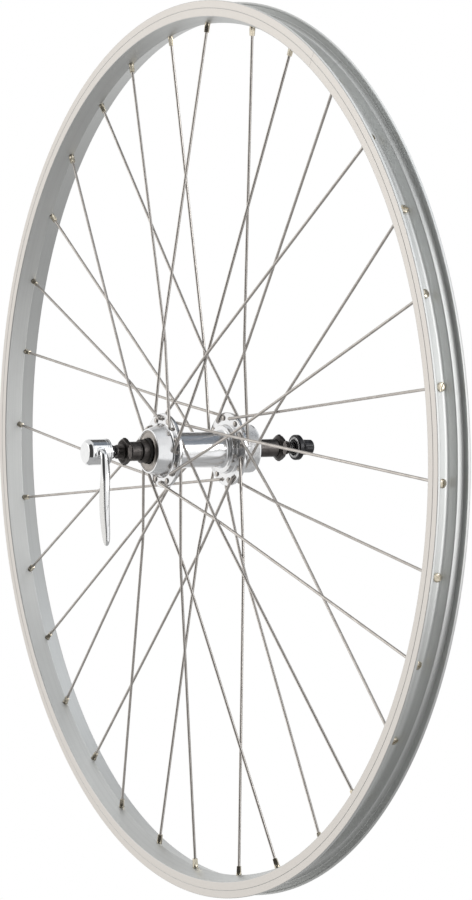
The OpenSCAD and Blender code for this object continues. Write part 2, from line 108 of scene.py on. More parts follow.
def make_stage():
    """A plain white floor that touches the wheel, and a white sphere all round."""
    white = bpy.data.materials.new("stage_white")
    white.use_nodes = True
    nodes = Nodes(white.node_tree)
    nodes.tree.nodes.clear()
    glow = nodes.add("ShaderNodeEmission", {"Color": (1, 1, 1, 1)})
    nodes.add("ShaderNodeOutputMaterial", {"Surface": glow.outputs[0]})
    ground = CAD_BOX[0].z
    for name, size, z in (("floor", 12, ground), ("backdrop", 40, 0)):
        bm = bmesh.new()
        if name == "floor":
            bmesh.ops.create_grid(bm, x_segments=1, y_segments=1, size=size)
        else:
            bmesh.ops.create_uvsphere(bm, u_segments=24, v_segments=12, radius=size)
        mesh = bpy.data.meshes.new(name)
        bm.to_mesh(mesh)
        mesh.materials.append(white)
        stage = bpy.data.objects.new(name, mesh)
        stage.location.z = z
        bpy.context.scene.collection.objects.link(stage)
        only_for_camera(stage)


# ------------------------------------------------------------------ shader building


class Nodes:
    """A node tree, built node by node. An input is a plain value or another node's output."""

    def __init__(self, tree):
        self.tree = tree

    def put(self, value, socket):
        if isinstance(value, bpy.types.NodeSocket):
            self.tree.links.new(value, socket)
        else:
            socket.default_value = value

    def add(self, kind, inputs=None, **settings):
        made = self.tree.nodes.new(kind)
        for key, value in settings.items():
            setattr(made, key, value)
        for key, value in (inputs or {}).items():
            self.put(value, made.inputs[key])
        return made

    def math(self, operation, a, b=0.0):
        return self.add("ShaderNodeMath", {0: a, 1: b}, operation=operation).outputs[0]

    def fade(self, value, low, high, to_low=0.0, to_high=1.0):
        return self.add("ShaderNodeMapRange", {
            "Value": value, "From Min": low, "From Max": high, "To Min": to_low, "To Max": to_high,
        }).outputs[0]

    def blend(self, factor, a, b):
        """Mixes two colours, each an output or a plain (red, green, blue)."""
        node = self.add("ShaderNodeMix", {"Factor": factor}, data_type="RGBA")
        for socket, value in ((node.inputs[6], a), (node.inputs[7], b)):
            self.put(value if isinstance(value, bpy.types.NodeSocket) else (*value, 1), socket)
        return node.outputs[2]

    def ramp(self, value, stops):
        """A colour ramp through (place, colour) stops."""
        made = self.add("ShaderNodeValToRGB", {"Fac": value})
        made.color_ramp.elements[0].position = stops[0][0]
        made.color_ramp.elements[1].position = stops[-1][0]
        for place, _ in stops[1:-1]:
            made.color_ramp.elements.new(place)
        for element, (_, colour) in zip(made.color_ramp.elements, stops):
            element.color = (*colour, 1)
        return made.outputs[0]


class Shader(Nodes):
    """A procedural material over one principled surface."""

    def __init__(self, name, metallic=1.0):
        self.material = bpy.data.materials.new(name)
        self.material.use_nodes = True
        super().__init__(self.material.node_tree)
        self.surface = self.tree.nodes["Principled BSDF"]
        self.surface.inputs["Metallic"].default_value = metallic
        self.place = self.add("ShaderNodeTexCoord").outputs["Object"]

    def around_axle(self):
        """Distance from the axle, place along it and angle round it."""
        x, y, z = self.add("ShaderNodeSeparateXYZ", {0: self.place}).outputs
        squares = self.math("ADD", self.math("MULTIPLY", x, x), self.math("MULTIPLY", z, z))
        return self.math("SQRT", squares), y, self.math("ARCTAN2", z, x)

    def turned(self, across, along):
        """A place stretched round the axle, for marks left by turning or rolling."""
        r, y, angle = self.around_axle()
        return self.add("ShaderNodeCombineXYZ", {
            0: self.math("MULTIPLY", r, across),
            1: self.math("MULTIPLY", y, across),
            2: self.math("MULTIPLY", self.math("SINE", angle), along),
        }).outputs[0]

    def noise(self, place, scale, detail=3.0, rough=0.55):
        return self.add("ShaderNodeTexNoise", {
            "Vector": place, "Scale": scale, "Detail": detail, "Roughness": rough,
        }).outputs["Fac"]

    def bump(self, height, depth, strength, under=None):
        """Dents depth metres deep, on top of the bump given as under."""
        inputs = {"Height": height, "Distance": depth, "Strength": strength}
        if under is not None:
            inputs["Normal"] = under
        return self.add("ShaderNodeBump", inputs).outputs[0]

    def worn_edges(self, low, high):
        """One along sharp outer corners, none on flat places."""
        return self.fade(self.add("ShaderNodeNewGeometry").outputs["Pointiness"], low, high)

    def finish(self, colour, rough, normal):
        for name, value in (("Base Color", colour), ("Roughness", rough), ("Normal", normal)):
            self.put(value, self.surface.inputs[name])
        return self.material


def turned_metal(name, light, dark, rough, depth=2e-6, blotch=55.0):
    """Bare metal with turning marks, soft blotches and slightly brighter worn corners."""
    s = Shader(name)
    spread = 0.09
    marks = s.noise(s.turned(1.0, 0.0006), 2600.0, 2.0)
    cloud = s.noise(s.place, blotch, 4.0)
    fine = s.noise(s.place, 1900.0, 2.0)
    worn = s.worn_edges(0.52, 0.62)
    rubbed = tuple(min(1.0, c * 1.35 + 0.03) for c in light)
    tone = s.blend(s.fade(cloud, 0.35, 0.68), light, dark)
    tone = s.blend(s.math("MULTIPLY", worn, 0.5), tone, rubbed)
    gloss = s.math("ADD", s.fade(marks, 0.3, 0.7, rough - spread / 2, rough + spread / 2),
                   s.fade(fine, 0.3, 0.7, -0.02, 0.02))
    return s.finish(tone, gloss, s.bump(marks, depth, 0.6, s.bump(fine, depth * 0.6, 0.3)))


def rim_material():
    """Satin aluminium: cool and matt, with warmer, finely turned brake walls whose wear groove is darkened with
    painted shade.
    """
    s = Shader("rim_satin_alloy")
    # In metres: where the brake walls' finish fades in along the axle, and the wear groove's radius and half width.
    wall_from, wall_full = 0.01215, 0.01228
    groove_r, groove_half = 0.3114, 0.00016
    r, y, _ = s.around_axle()
    wall = s.fade(s.math("ABSOLUTE", y), wall_from, wall_full)
    turning = s.noise(s.turned(1.0, 0.0), 2600.0, 2.0)
    drawn = s.noise(s.turned(1.0, 0.002), 700.0, 3.0)
    cloud = s.noise(s.place, 9.0, 3.0)
    fine = s.noise(s.place, 1500.0, 3.0)
    warm, cool, streak, painted_shade = (0.75, 0.72, 0.685), (0.70, 0.71, 0.70), (0.56, 0.565, 0.56), (0.42, 0.40, 0.38)
    tone = s.blend(s.fade(cloud, 0.35, 0.7), cool, tuple(c * 0.95 for c in cool))
    tone = s.blend(s.math("MULTIPLY", s.fade(drawn, 0.42, 0.7), 0.25), tone, streak)
    tone = s.blend(wall, tone, warm)
    groove = s.add("ShaderNodeMath", {0: r, 1: groove_r, 2: groove_half}, operation="COMPARE").outputs[0]
    # Painted shade: the wear groove in each brake wall is darkened towards a dull grey, as shade in the recess.
    tone = s.blend(s.math("MULTIPLY", s.math("MULTIPLY", groove, wall), 0.55), tone, painted_shade)
    gloss = s.math("ADD", s.fade(turning, 0.3, 0.7, 0.42, 0.52), s.fade(fine, 0.3, 0.7, -0.03, 0.03))
    height = s.math("ADD", s.math("MULTIPLY", turning, wall), s.math("MULTIPLY", fine, 0.35))
    return s.finish(tone, gloss, s.bump(height, 1.2e-6, 0.4))


def polished_material():
    """Buffed aluminium: nearly mirror, with faint polishing lines and tiny pits."""
    s = Shader("hub_polished_alloy")
    lines = s.noise(s.turned(1.0, 0.0015), 1500.0, 3.0)
    cloud = s.noise(s.place, 60.0, 4.0)
    pits = s.noise(s.place, 2300.0, 1.0)
    tone = s.blend(s.fade(cloud, 0.35, 0.7), (0.92, 0.925, 0.935), (0.86, 0.868, 0.88))
    gloss = s.math("ADD", s.fade(lines, 0.3, 0.7, 0.15, 0.24), s.fade(cloud, 0.3, 0.7, -0.02, 0.04))
    pitted = s.bump(s.fade(pits, 0.2, 0.3), 3e-6, 0.25)
    return s.finish(tone, gloss, s.bump(lines, 1.4e-6, 0.5, pitted))


def wire_material(name, light, dark, rough):
    """Drawn stainless wire: long faint streaks and a dull spotted skin."""
    s = Shader(name)
    streaks = s.noise(s.place, 160.0, 5.0, 0.7)
    skin = s.noise(s.place, 2600.0, 3.0)
    tone = s.blend(s.fade(streaks, 0.3, 0.7), light, dark)
    gloss = s.math("ADD", s.fade(streaks, 0.3, 0.7, rough - 0.05, rough + 0.07),
                   s.fade(skin, 0.3, 0.7, -0.03, 0.03))
    return s.finish(tone, gloss, s.bump(skin, 1.2e-6, 0.3))


def chrome_material():
    """Chrome plate over a forging, frosted where the mesh's frost attribute is one."""
    s = Shader("lever_chrome_plate")
    frost = s.add("ShaderNodeAttribute", attribute_name="frost").outputs["Fac"]
    ripple = s.noise(s.place, 120.0, 2.0)
    haze = s.noise(s.place, 420.0, 4.0, 0.65)
    sparkle = s.noise(s.place, 3400.0, 2.0)
    tone = s.blend(s.fade(haze, 0.35, 0.7), (0.92, 0.925, 0.93), (0.86, 0.87, 0.88))
    tone = s.blend(frost, tone, (0.83, 0.83, 0.82))
    polished = s.fade(haze, 0.3, 0.75, 0.035, 0.085)
    frosted = s.fade(sparkle, 0.3, 0.7, 0.38, 0.52)
    gloss = s.math("ADD", s.math("MULTIPLY", polished, s.math("SUBTRACT", 1.0, frost)),
                   s.math("MULTIPLY", frosted, frost))
    soft = s.bump(ripple, 6e-6, 0.35)
    return s.finish(tone, gloss, s.bump(s.math("MULTIPLY", sparkle, frost), 6e-6, 0.7, soft))


def black_material():
    """Black anodised aluminium: satin, with a fine grain and edges rubbed a little grey."""
    s = Shader("nut_black_anodised", metallic=0.55)
    grain = s.noise(s.turned(1.0, 0.002), 2200.0, 3.0)
    cloud = s.noise(s.place, 150.0, 4.0)
    worn = s.worn_edges(0.53, 0.62)
    tone = s.blend(s.fade(cloud, 0.35, 0.7), (0.014, 0.014, 0.016), (0.028, 0.028, 0.03))
    tone = s.blend(s.math("MULTIPLY", worn, 0.45), tone, (0.16, 0.16, 0.17))
    return s.finish(tone, s.fade(grain, 0.3, 0.7, 0.24, 0.34), s.bump(grain, 2e-6, 0.5))


def rubber_material():
    """Matt black rubber with moulding dust in its grain."""
    s = Shader("seal_black_rubber", metallic=0.0)
    grain = s.noise(s.place, 1800.0, 4.0)
    cloud = s.noise(s.place, 240.0, 3.0)
    tone = s.blend(s.fade(cloud, 0.4, 0.75), (0.012, 0.012, 0.012), (0.04, 0.038, 0.036))
    return s.finish(tone, s.fade(grain, 0.3, 0.7, 0.55, 0.72), s.bump(grain, 8e-6, 0.6))


LOOKS = {
    "rim_alloy": rim_material(),
    "spoke_stainless": wire_material("spoke_drawn_steel", (0.62, 0.585, 0.55), (0.50, 0.47, 0.44), 0.34),
    "nipple_nickel": turned_metal("nipple_nickel_brass", (0.72, 0.66, 0.54), (0.52, 0.46, 0.36), 0.24,
                                  blotch=600.0),
    "polished_alloy": polished_material(),
    "race_steel": turned_metal("race_ground_steel", (0.55, 0.55, 0.56), (0.42, 0.42, 0.43), 0.22),
    "cap_steel": turned_metal("cap_pressed_steel", (0.46, 0.43, 0.40), (0.38, 0.355, 0.33), 0.42,
                              blotch=220.0),
    "ball_steel": turned_metal("ball_bearing_steel", (0.80, 0.80, 0.81), (0.74, 0.74, 0.75), 0.08,
                               depth=3e-7),
    "dark_steel": turned_metal("axle_dark_steel", (0.115, 0.105, 0.10), (0.065, 0.06, 0.058), 0.36,
                               blotch=260.0),
    "seal_rubber": rubber_material(),
    "lever_chrome": chrome_material(),
    "clamp_steel": turned_metal("clamp_bright_steel", (0.80, 0.80, 0.80), (0.66, 0.66, 0.67), 0.20),
    "spring_steel": wire_material("spring_blued_steel", (0.075, 0.072, 0.07), (0.04, 0.04, 0.042), 0.30),
    "nut_black": black_material(),
}

SLOT_OF = {row["node"]: row["material_slot"] for row in frame["record"]["subparts"]}
BODY_OF = {node: body for body, nodes in frame["record"]["behaviour"]["bodies"].items() for node in nodes}


# ------------------------------------------------------------------ mesh building


def soften(points, steps=4):
    """
    Rounds the corners of a closed outline of (x, y, corner radius).
    A guard point on each side of a corner keeps the flat beside it shaded flat.
    """
    out = []
    for i, (x, y, radius) in enumerate(points):
        here, before = Vector((x, y)), Vector(points[i - 1][:2])
        after = Vector(points[(i + 1) % len(points)][:2])
        if radius <= 0:
            out.append((x, y))
            continue
        u, v = before - here, after - here
        half = acos(max(-1.0, min(1.0, u.normalized().dot(v.normalized())))) / 2
        reach = min(radius / tan(half), 0.48 * u.length, 0.48 * v.length)
        radius = reach * tan(half)
        centre = here + (u.normalized() + v.normalized()).normalized() * radius / sin(half)
        start, stop = here + u.normalized() * reach - centre, here + v.normalized() * reach - centre
        turn = start.angle_signed(stop)
        guard = min(0.2 * reach + 0.04, 0.49 * u.length - reach, 0.49 * v.length - reach)
        if guard > 0.01:
            out.append(tuple(here + u.normalized() * (reach + guard)))
        for j in range(steps + 1):
            a = -turn * j / steps
            out.append((centre.x + start.x * cos(a) - start.y * sin(a),
                        centre.y + start.x * sin(a) + start.y * cos(a)))
        if guard > 0.01:
            out.append(tuple(here + v.normalized() * (reach + guard)))
    return out


def lathe(rows, count, shape=None, extra=()):
    """
    Turns a closed outline of (radius, place along the axle), in millimetres, round the axle.
    shape(radius, place, angle) may move a point, and extra adds angles to the even ones.
    """
    bm = bmesh.new()
    angles = sorted({2 * pi * i / count for i in range(count)} | set(extra))
    rings = []
    for r, y in rows:
        if r < 1e-6:
            rings.append([bm.verts.new((0, y * MM, 0))] * len(angles))
            continue
        ring = []
        for a in angles:
            rr, yy = shape(r, y, a) if shape else (r, y)
            ring.append(bm.verts.new((rr * cos(a) * MM, yy * MM, rr * sin(a) * MM)))
        rings.append(ring)
    for j, near in enumerate(rings):
        far = rings[(j + 1) % len(rings)]
        for i in range(len(angles)):
            k = (i + 1) % len(angles)
            corners = list(dict.fromkeys((near[i], near[k], far[k], far[i])))
            if len(corners) > 2:
                bm.faces.new(corners)
    return bm


def sweep(bm, path, radii, count, section=None, side=None):
    """A closed tube along a path of points in millimetres. section(i, angle) may give another outline."""
    points = [Vector(p) for p in path]
    last = len(points) - 1
    ahead = [(points[min(i + 1, last)] - points[max(i - 1, 0)]).normalized() for i in range(last + 1)]
    across = (side or ahead[0].orthogonal()).normalized()
    rings = []
    for i, (p, d) in enumerate(zip(points, ahead)):
        across = (across - d * across.dot(d)).normalized()
        over = d.cross(across)
        ring = []
        for j in range(count):
            a = 2 * pi * j / count
            u, v = section(i, a) if section else (radii[i] * cos(a), radii[i] * sin(a))
            ring.append(bm.verts.new((p + across * u + over * v) * MM))
        rings.append(ring)
    for near, far in zip(rings, rings[1:]):
        for j in range(count):
            k = (j + 1) % count
            bm.faces.new((near[j], near[k], far[k], far[j]))
    for ring in (rings[0], rings[-1]):
        bm.faces.new(ring)
    return rings


def bend(points, radii, steps):
    """A path whose corners are rounded to the given radii."""
    out = [Vector(points[0])]
    for before, here, after, radius in zip(points, points[1:], points[2:], radii):
        before, here, after = Vector(before), Vector(here), Vector(after)
        u, v = (before - here).normalized(), (after - here).normalized()
        half = u.angle(v) / 2
        reach = min(radius / tan(half), 0.49 * (before - here).length, 0.49 * (after - here).length)
        radius = reach * tan(half)
        middle = here + (u + v).normalized() * radius / sin(half)
        start, stop = here + u * reach - middle, here + v * reach - middle
        whole = start.angle(stop)
        for j in range(steps + 1):
            share = j / steps
            radial = (start * sin((1 - share) * whole) + stop * sin(share * whole)) / sin(whole)
            out.append(middle + radial)
    out.append(Vector(points[-1]))
    return out


def to_mesh(bm, name, crisp=33):
    """Ends a mesh: smooth faces, with edges of crisp degrees or more kept sharp."""
    bmesh.ops.recalc_face_normals(bm, faces=bm.faces)
    for face in bm.faces:
        face.smooth = True
    for edge in bm.edges:
        if len(edge.link_faces) == 2:
            edge.smooth = edge.calc_face_angle(0) < radians(crisp)
    mesh = bpy.data.meshes.new(name)
    bm.to_mesh(mesh)
    bm.free()
    return mesh


def carve(bm, tool):
    """Cuts one closed mesh with another and gives the result back."""
    objects = []
    for name, part in (("carved", bm), ("tool", tool)):
        obj = bpy.data.objects.new(name, to_mesh(part, name))
        bpy.context.scene.collection.objects.link(obj)
        objects.append(obj)
    cut = objects[0].modifiers.new("cut", "BOOLEAN")
    cut.operation = "DIFFERENCE"
    cut.object = objects[1]
    cut.solver = "EXACT"
    bpy.context.view_layer.update()
    depsgraph = bpy.context.evaluated_depsgraph_get()
    done = bpy.data.meshes.new_from_object(objects[0].evaluated_get(depsgraph))
    out = bmesh.new()
    out.from_mesh(done)
    for obj in objects:
        bpy.data.objects.remove(obj)
    bpy.data.meshes.remove(done)
    return out


def piece(name, bm, node, crisp=33):
    """Links a finished mesh as the piece that stands for the given CAD node."""
    mesh = to_mesh(bm, name, crisp)
    mesh.materials.append(LOOKS[SLOT_OF[node]])
    obj = bpy.data.objects.new(name, mesh)
    bpy.context.scene.collection.objects.link(obj)
    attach(obj, BODY_OF[node])
    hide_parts(node)
    return obj


def places(start, stop, gap):
    """Places from start on, a gap apart, that lie below stop."""
    found = []
    while start < stop:
        found.append(start)
        start += gap
    return found


# ------------------------------------------------------------------ sizes of the wheel, in millimetres

# The rim's section: bead seat, lip, well, inner ridge and edge by radius, then half width and its wall's inside.
SEAT_R, LIP_R, WELL_R, RIDGE_R, EDGE_R, HALF_W, WALL_IN = 311.0, 317.0, 304.0, 301.7, 305.5, 12.3, 10.7
# Angles in degrees: the first nipple, the step from one to the next, and from a nipple to its spoke's hole.
SPOKES = 32
FIRST_NIPPLE, STEP = 167.6, 360 / SPOKES
LEAN = 6 * STEP
HOLE_R, FLANGE_R, FLANGE_T = 22.5, 26.5, 3.0
LEFT_FLANGE, RIGHT_FLANGE = -32.0, 20.5
STAGGER, SPOKE_R, GAP = 0.9, 1.0, 0.05
STEM_R, ELBOW_R = 1.1, 1.13
HEAD_R, HEAD_H = 2.1, 1.1
# How far a nipple goes inward from the rim's well, and the hole it has in the rim.
NIPPLE_REACH, NIPPLE_HOLE_R = 8.5, 2.15
# Where a spoke passes its outermost crossing, as a share of its way from hole to nipple.
CROSS_IN = HOLE_R * sin(radians(LEAN - STEP))
CROSS_SHARE = CROSS_IN / (CROSS_IN + WELL_R * sin(radians(STEP)))
CROSS_OFFSET = SPOKE_R + GAP
VALVE_A, VALVE_R = radians(FIRST_NIPPLE - 19.5 * STEP), 3.25
SEAM_A = radians(58.0)
# Puts a flat of each locknut at the front, +X.
HEX_TURN = radians(30.0)
# Bore of the rings on the axle, and the depth of the lever's clamp ring past its housing.
ON_AXLE_R, CLAMP_DEPTH = 5.07, 1.2
SHELL_L, SHELL_R = span("hub_shell")
BARREL_R, BORE_R, CUP_R, BOSS_R, BELL_R, THREAD_R = 12.8, 10.0, 14.56, 15.66, 17.2, 17.45
CUP_DEPTH = 9.02


def at(r, degrees, y):
    """A point by its distance from the axle, angle round it and place along it."""
    return Vector((r * cos(radians(degrees)), y, r * sin(radians(degrees))))


class Lace:
    """Where spoke k runs: its flange hole, elbow, outermost crossing and nipple."""

    def __init__(self, k):
        self.side = 1 if k % 2 == 0 else -1
        self.outside = k % 4 < 2
        self.flange = RIGHT_FLANGE if self.side > 0 else LEFT_FLANGE
        self.nipple_a = FIRST_NIPPLE - k * STEP
        self.hole_a = self.nipple_a + (-LEAN if self.outside else LEAN)
        self.seat = at(WELL_R, self.nipple_a, self.side * STAGGER)
        lean = radians(LEAN)
        edge_run = sqrt(FLANGE_R ** 2 - (HOLE_R * sin(lean)) ** 2) - HOLE_R * cos(lean)
        cross_run = CROSS_SHARE * sqrt((WELL_R - HOLE_R * cos(lean)) ** 2 + (HOLE_R * sin(lean)) ** 2)
        middle = self.flange * (1 - CROSS_SHARE) + self.side * STAGGER * CROSS_SHARE
        cross_y = middle + self.side * (-CROSS_OFFSET if self.outside else CROSS_OFFSET)
        # An outside spoke's elbow stands out by lift, which lets the spoke just clear the flange's edge.
        rest = FLANGE_T / 2 + ELBOW_R + GAP
        lift = (abs(self.flange) + rest - abs(cross_y)) * edge_run / (cross_run - edge_run)
        elbow_y = self.flange + self.side * (rest + lift if self.outside else -rest)
        self.elbow = at(HOLE_R, self.hole_a, elbow_y)
        near = self.elbow * (1 - CROSS_SHARE) + self.seat * CROSS_SHARE
        self.crossing = Vector((near.x, cross_y, near.z))
        self.end_dir = (self.seat - self.crossing).normalized()
        self.out = self.side if self.outside else -self.side
        self.face = self.flange - self.out * (FLANGE_T / 2 + GAP)

    def along(self, s):
        """A point on the spoke's line, s past the nipple's seat."""
        return self.seat + self.end_dir * s


LACES = [Lace(k) for k in range(SPOKES)]


# ------------------------------------------------------------------ rim


def make_rim():
    """A hoop with hooked lips, a wear groove in each brake wall, a seam, and its nipple and valve holes."""
    lip_r = LIP_R - 0.12
    half = [
        (RIDGE_R, 0, 0.5), (EDGE_R, HALF_W, 0.9),
        (SEAT_R + 0.15, HALF_W, 0), (SEAT_R + 0.4, HALF_W - 0.25, 0), (SEAT_R + 0.65, HALF_W, 0),
        (lip_r, HALF_W, 0.55), (lip_r, WALL_IN - 0.6, 0.45), (LIP_R - 1.4, WALL_IN - 0.6, 0.3),
        (LIP_R - 2.0, WALL_IN, 0.3), (SEAT_R + 0.45, WALL_IN, 0.4), (SEAT_R - 0.5, 6.5, 0.9),
        (WELL_R, 4.0, 3.0),
    ]
    outline = half + [(r, -y, f) for r, y, f in reversed(half) if y]
    middle_r = 309

    def seam(r, y, a):
        """The butt joint of the rolled section is a hair line across it, drawn in towards the section's middle."""
        if abs(a - SEAM_A) > 2e-4:
            return r, y
        return middle_r + (r - middle_r) * 0.985, y * 0.993

    joint = [SEAM_A + d * 1.2e-4 for d in (-2.5, -1, 0, 1, 2.5)]
    bm = lathe(soften(outline), 540, seam, joint)
    tool = bmesh.new()
    for lace in LACES:
        sweep(tool, [lace.along(-NIPPLE_REACH), lace.along(3.0)], [NIPPLE_HOLE_R] * 2, 24)
    d = Vector((cos(VALVE_A), 0, sin(VALVE_A)))
    sweep(tool, [d * (RIDGE_R - 2), d * (WELL_R + 3)], [VALVE_R] * 2, 40)
    return piece("rim_hoop", carve(bm, tool), "rim")


def make_nipples(side, name, node):
    """
    Nickelled nipples: square to turn them by, round through the rim, and a slotted dome in the well.
    A station is a place past the seat, a half width and how square the outline is there.
    """
    stations = [
        (-NIPPLE_REACH, 1.25, 0.9), (-8.35, 1.45, 0.9), (-7.2, 1.5, 1), (-5.0, 1.57, 1), (-3.45, 1.6, 1),
        (-3.15, 1.85, 0.1), (-2.95, 1.93, 0), (-0.1, 1.93, 0), (0.06, 1.93, 0), (1.05, 2.92, 0),
        (1.3, 2.98, 0), (1.5, 2.9, 0), (1.72, 2.55, 0), (1.86, 1.9, 0), (1.93, 1.0, 0),
    ]

    def outline(i, a):
        _, half, square = stations[i]
        power = 2 + 7 * square
        round_r = half / (abs(cos(a)) ** power + abs(sin(a)) ** power) ** (1 / power)
        return round_r * cos(a), round_r * sin(a)

    one = bmesh.new()
    sweep(one, [(0, 0, s[0]) for s in stations], None, 32, outline, Vector((1, 0, 0)))
    slot = bmesh.new()
    slot_size = Matrix.Diagonal((0.85 * MM, 7 * MM, 1.0 * MM, 1))
    bmesh.ops.create_cube(slot, size=1, matrix=Matrix.Translation((0, 0, 1.75 * MM)) @ slot_size)
    one = carve(one, slot)
    template = to_mesh(one, "nipple_form", 40)
    all_of_them = bmesh.new()
    for k, lace in enumerate(LACES):
        if lace.side != side:
            continue
        turn = lace.end_dir.to_track_quat("Z", "Y").to_matrix().to_4x4()
        # Each nipple was left at its own turn by whoever trued the wheel.
        spin = Matrix.Rotation(radians(37 * k % 180), 4, "Z")
        placed = template.copy()
        placed.transform(Matrix.Translation(lace.seat * MM) @ turn @ spin)
        all_of_them.from_mesh(placed)
        bpy.data.meshes.remove(placed)
    bpy.data.meshes.remove(template)
    return piece(name, all_of_them, node, 40)


def make_spoke(k):
    """A wire from its head through the flange, round the elbow and over its crossing to the nipple."""
    lace = LACES[k]
    bm = bmesh.new()
    root = at(HOLE_R, lace.hole_a, lace.face - lace.out * HEAD_H * 0.5)
    path = bend([root, lace.elbow, lace.crossing, lace.along(0.8)], [2.0, 160.0], 9)
    radii = [STEM_R if (p - lace.elbow).length < 4.5 else SPOKE_R for p in path]
    sweep(bm, path, radii, 16)
    up = Vector((0, -lace.out, 0))
    foot = at(HOLE_R, lace.hole_a, lace.face)
    head = [(0.0, STEM_R), (0.02, HEAD_R - 0.35), (0.25, HEAD_R - 0.02), (0.5, HEAD_R - 0.08),
            (0.8, HEAD_R - 0.45), (1.0, HEAD_R - 1.05), (HEAD_H, 0.5)]
    sweep(bm, [foot + up * h for h, _ in head], [r for _, r in head], 24)
    return piece("wire_%02d" % (k + 1), bm, "spoke_%02d" % (k + 1), 50)


# ------------------------------------------------------------------ hub


def make_hub_shell():
    """The turned shell: two drilled flanges, the waisted barrel, the cup seats and the freewheel's thread."""
    left_in, left_out = LEFT_FLANGE + FLANGE_T / 2, LEFT_FLANGE - FLANGE_T / 2
    right_in, right_out = RIGHT_FLANGE - FLANGE_T / 2, RIGHT_FLANGE + FLANGE_T / 2
    bell_from = right_in - 4.4
    cup_left, cup_right = SHELL_L + CUP_DEPTH, SHELL_R - CUP_DEPTH
    pitch, root_r, relief_r = 1.058, THREAD_R - 0.22, THREAD_R - 0.8
    thread = []
    for y in places(right_out + 3.0, SHELL_R - 2.2, pitch):
        thread += [(THREAD_R, y, 0.08), (root_r, y + pitch * 0.5, 0.08)]
    outline = [
        (BOSS_R, SHELL_L, 0.45), (BOSS_R + 3.4, left_out, 1.6), (FLANGE_R, left_out, 0.8),
        (FLANGE_R, left_in, 0.8), (BARREL_R, left_in, 5.0), (BARREL_R, bell_from, 4.2), (BELL_R, bell_from, 0.5),
        (BELL_R, right_in, 0.8), (FLANGE_R, right_in, 0.8), (FLANGE_R, right_out, 0.8),
        (relief_r, right_out, 0.3), (relief_r, right_out + 1.5, 0.2), (THREAD_R, right_out + 2.3, 0.2),
        *thread,
        (THREAD_R, SHELL_R - 0.8, 0.15), (relief_r, SHELL_R, 0.2), (CUP_R, SHELL_R, 0.2),
        (CUP_R, cup_right, 0.2), (BORE_R, cup_right, 0.3), (BORE_R, cup_left, 0.3), (CUP_R, cup_left, 0.2),
        (CUP_R, SHELL_L, 0.2),
    ]
    bm = lathe(soften(outline, 5), 224)
    # A spoke hole by place from the flange's middle and radius, countersunk at both mouths.
    hole = [(-2.3, 2.34), (-1.52, 1.56), (-1.15, 1.2), (1.15, 1.2), (1.52, 1.56), (2.3, 2.34)]
    tool = bmesh.new()
    for lace in LACES:
        sweep(tool, [at(HOLE_R, lace.hole_a, lace.flange + y) for y, _ in hole], [r for _, r in hole], 20)
    return piece("hub_body", carve(bm, tool), "hub_shell")


def make_dust_cap(name, node, out):
    """A pressed cap with a dished face. out is the side that faces away from the hub: -1 left, 1 right."""
    low, high = span(node)
    outer, inner = (low, high) if out < 0 else (high, low)
    dish = outer - 0.45 * out
    outline = [
        (9.25, inner, 0.2), (9.25, outer - 0.1 * out, 0.35), (10.2, outer, 0.4), (10.9, dish, 0.5),
        (13.2, dish, 0.5), (13.6, outer, 0.3), (14.45, outer, 0.35), (14.45, inner, 0.2),
    ]
    return piece(name, lathe(soften(outline), 128), node)


def make_cone(name, node, out):
    """A cone with its race towards the hub and, on its outer end, two flats for a thin spanner."""
    low, high = span(node)
    race, end = (high, low) if out < 0 else (low, high)
    body_r, half_flats, flats_turn = 8.3, 7.45, radians(64)
    flats_from = abs(end - race) - 5.2

    def flats(r, y, a):
        if abs(y - race) > flats_from and r > 7:
            return min(r, half_flats / max(0.2, abs(cos(a - flats_turn)))), y
        return r, y

    outline = [(ON_AXLE_R, race, 0.1), (6.9, race, 0.2), (6.95, race + 1.8 * out, 0.8),
               (body_r, race + 3.4 * out, 0.4)]
    if flats_from > 4:
        outline += [(body_r, race + out * (flats_from - 0.02), 0), (body_r, race + out * (flats_from + 0.04), 0)]
    outline += [(body_r, end, 0.4), (ON_AXLE_R, end, 0.2)]
    return piece(name, lathe(soften(outline), 144, flats), node)


def make_axle_ring(name, node, radius, corner, groove=None):
    """A plain ring on the axle, with a shallow groove turned round it where one is given."""
    low, high = span(node)
    outline = [(ON_AXLE_R, low, 0.1), (radius, low, corner), (radius, high, corner), (ON_AXLE_R, high, 0.1)]
    if groove:
        half = 0.45
        outline[2:2] = [(radius, groove - half, 0.1), (radius - 0.2, groove, 0.1), (radius, groove + half, 0.1)]
    return piece(name, lathe(soften(outline), 112), node)


def make_locknut(name, node, out):
    """A hexagon with its corners turned off and radial teeth on the face that grips the frame."""
    low, high = span(node)
    inner, face = (high, low) if out < 0 else (low, high)
    flat, collar, count, tooth_depth = 8.5, 1.5, 240, 0.16

    def hexagon(r, y, a):
        if abs(y - face) < 0.02 and 5.7 < r < 7.9:
            return r, y - out * tooth_depth * (round(a / (2 * pi) * count) % 4 < 2)
        if abs(y - inner) > collar and r > 7.9:
            return min(r, flat / cos((a + HEX_TURN) % (pi / 3) - pi / 6)), y
        return r, y

    outline = [
        (ON_AXLE_R, inner, 0.1), (7.0, inner, 0.2), (8.3, inner + 1.45 * out, 0.15),
        (9.05, inner + 1.62 * out, 0.1), (9.72, inner + 2.3 * out, 0.15), (9.75, face - 1.0 * out, 0.15),
        (8.75, face - 0.25 * out, 0.1), (8.1, face, 0.1), (7.7, face, 0), (7.65, face, 0), (5.9, face, 0),
        (5.85, face, 0), (ON_AXLE_R, face, 0.15),
    ]
    return piece(name, lathe(soften(outline, 3), count, hexagon), node, 24)


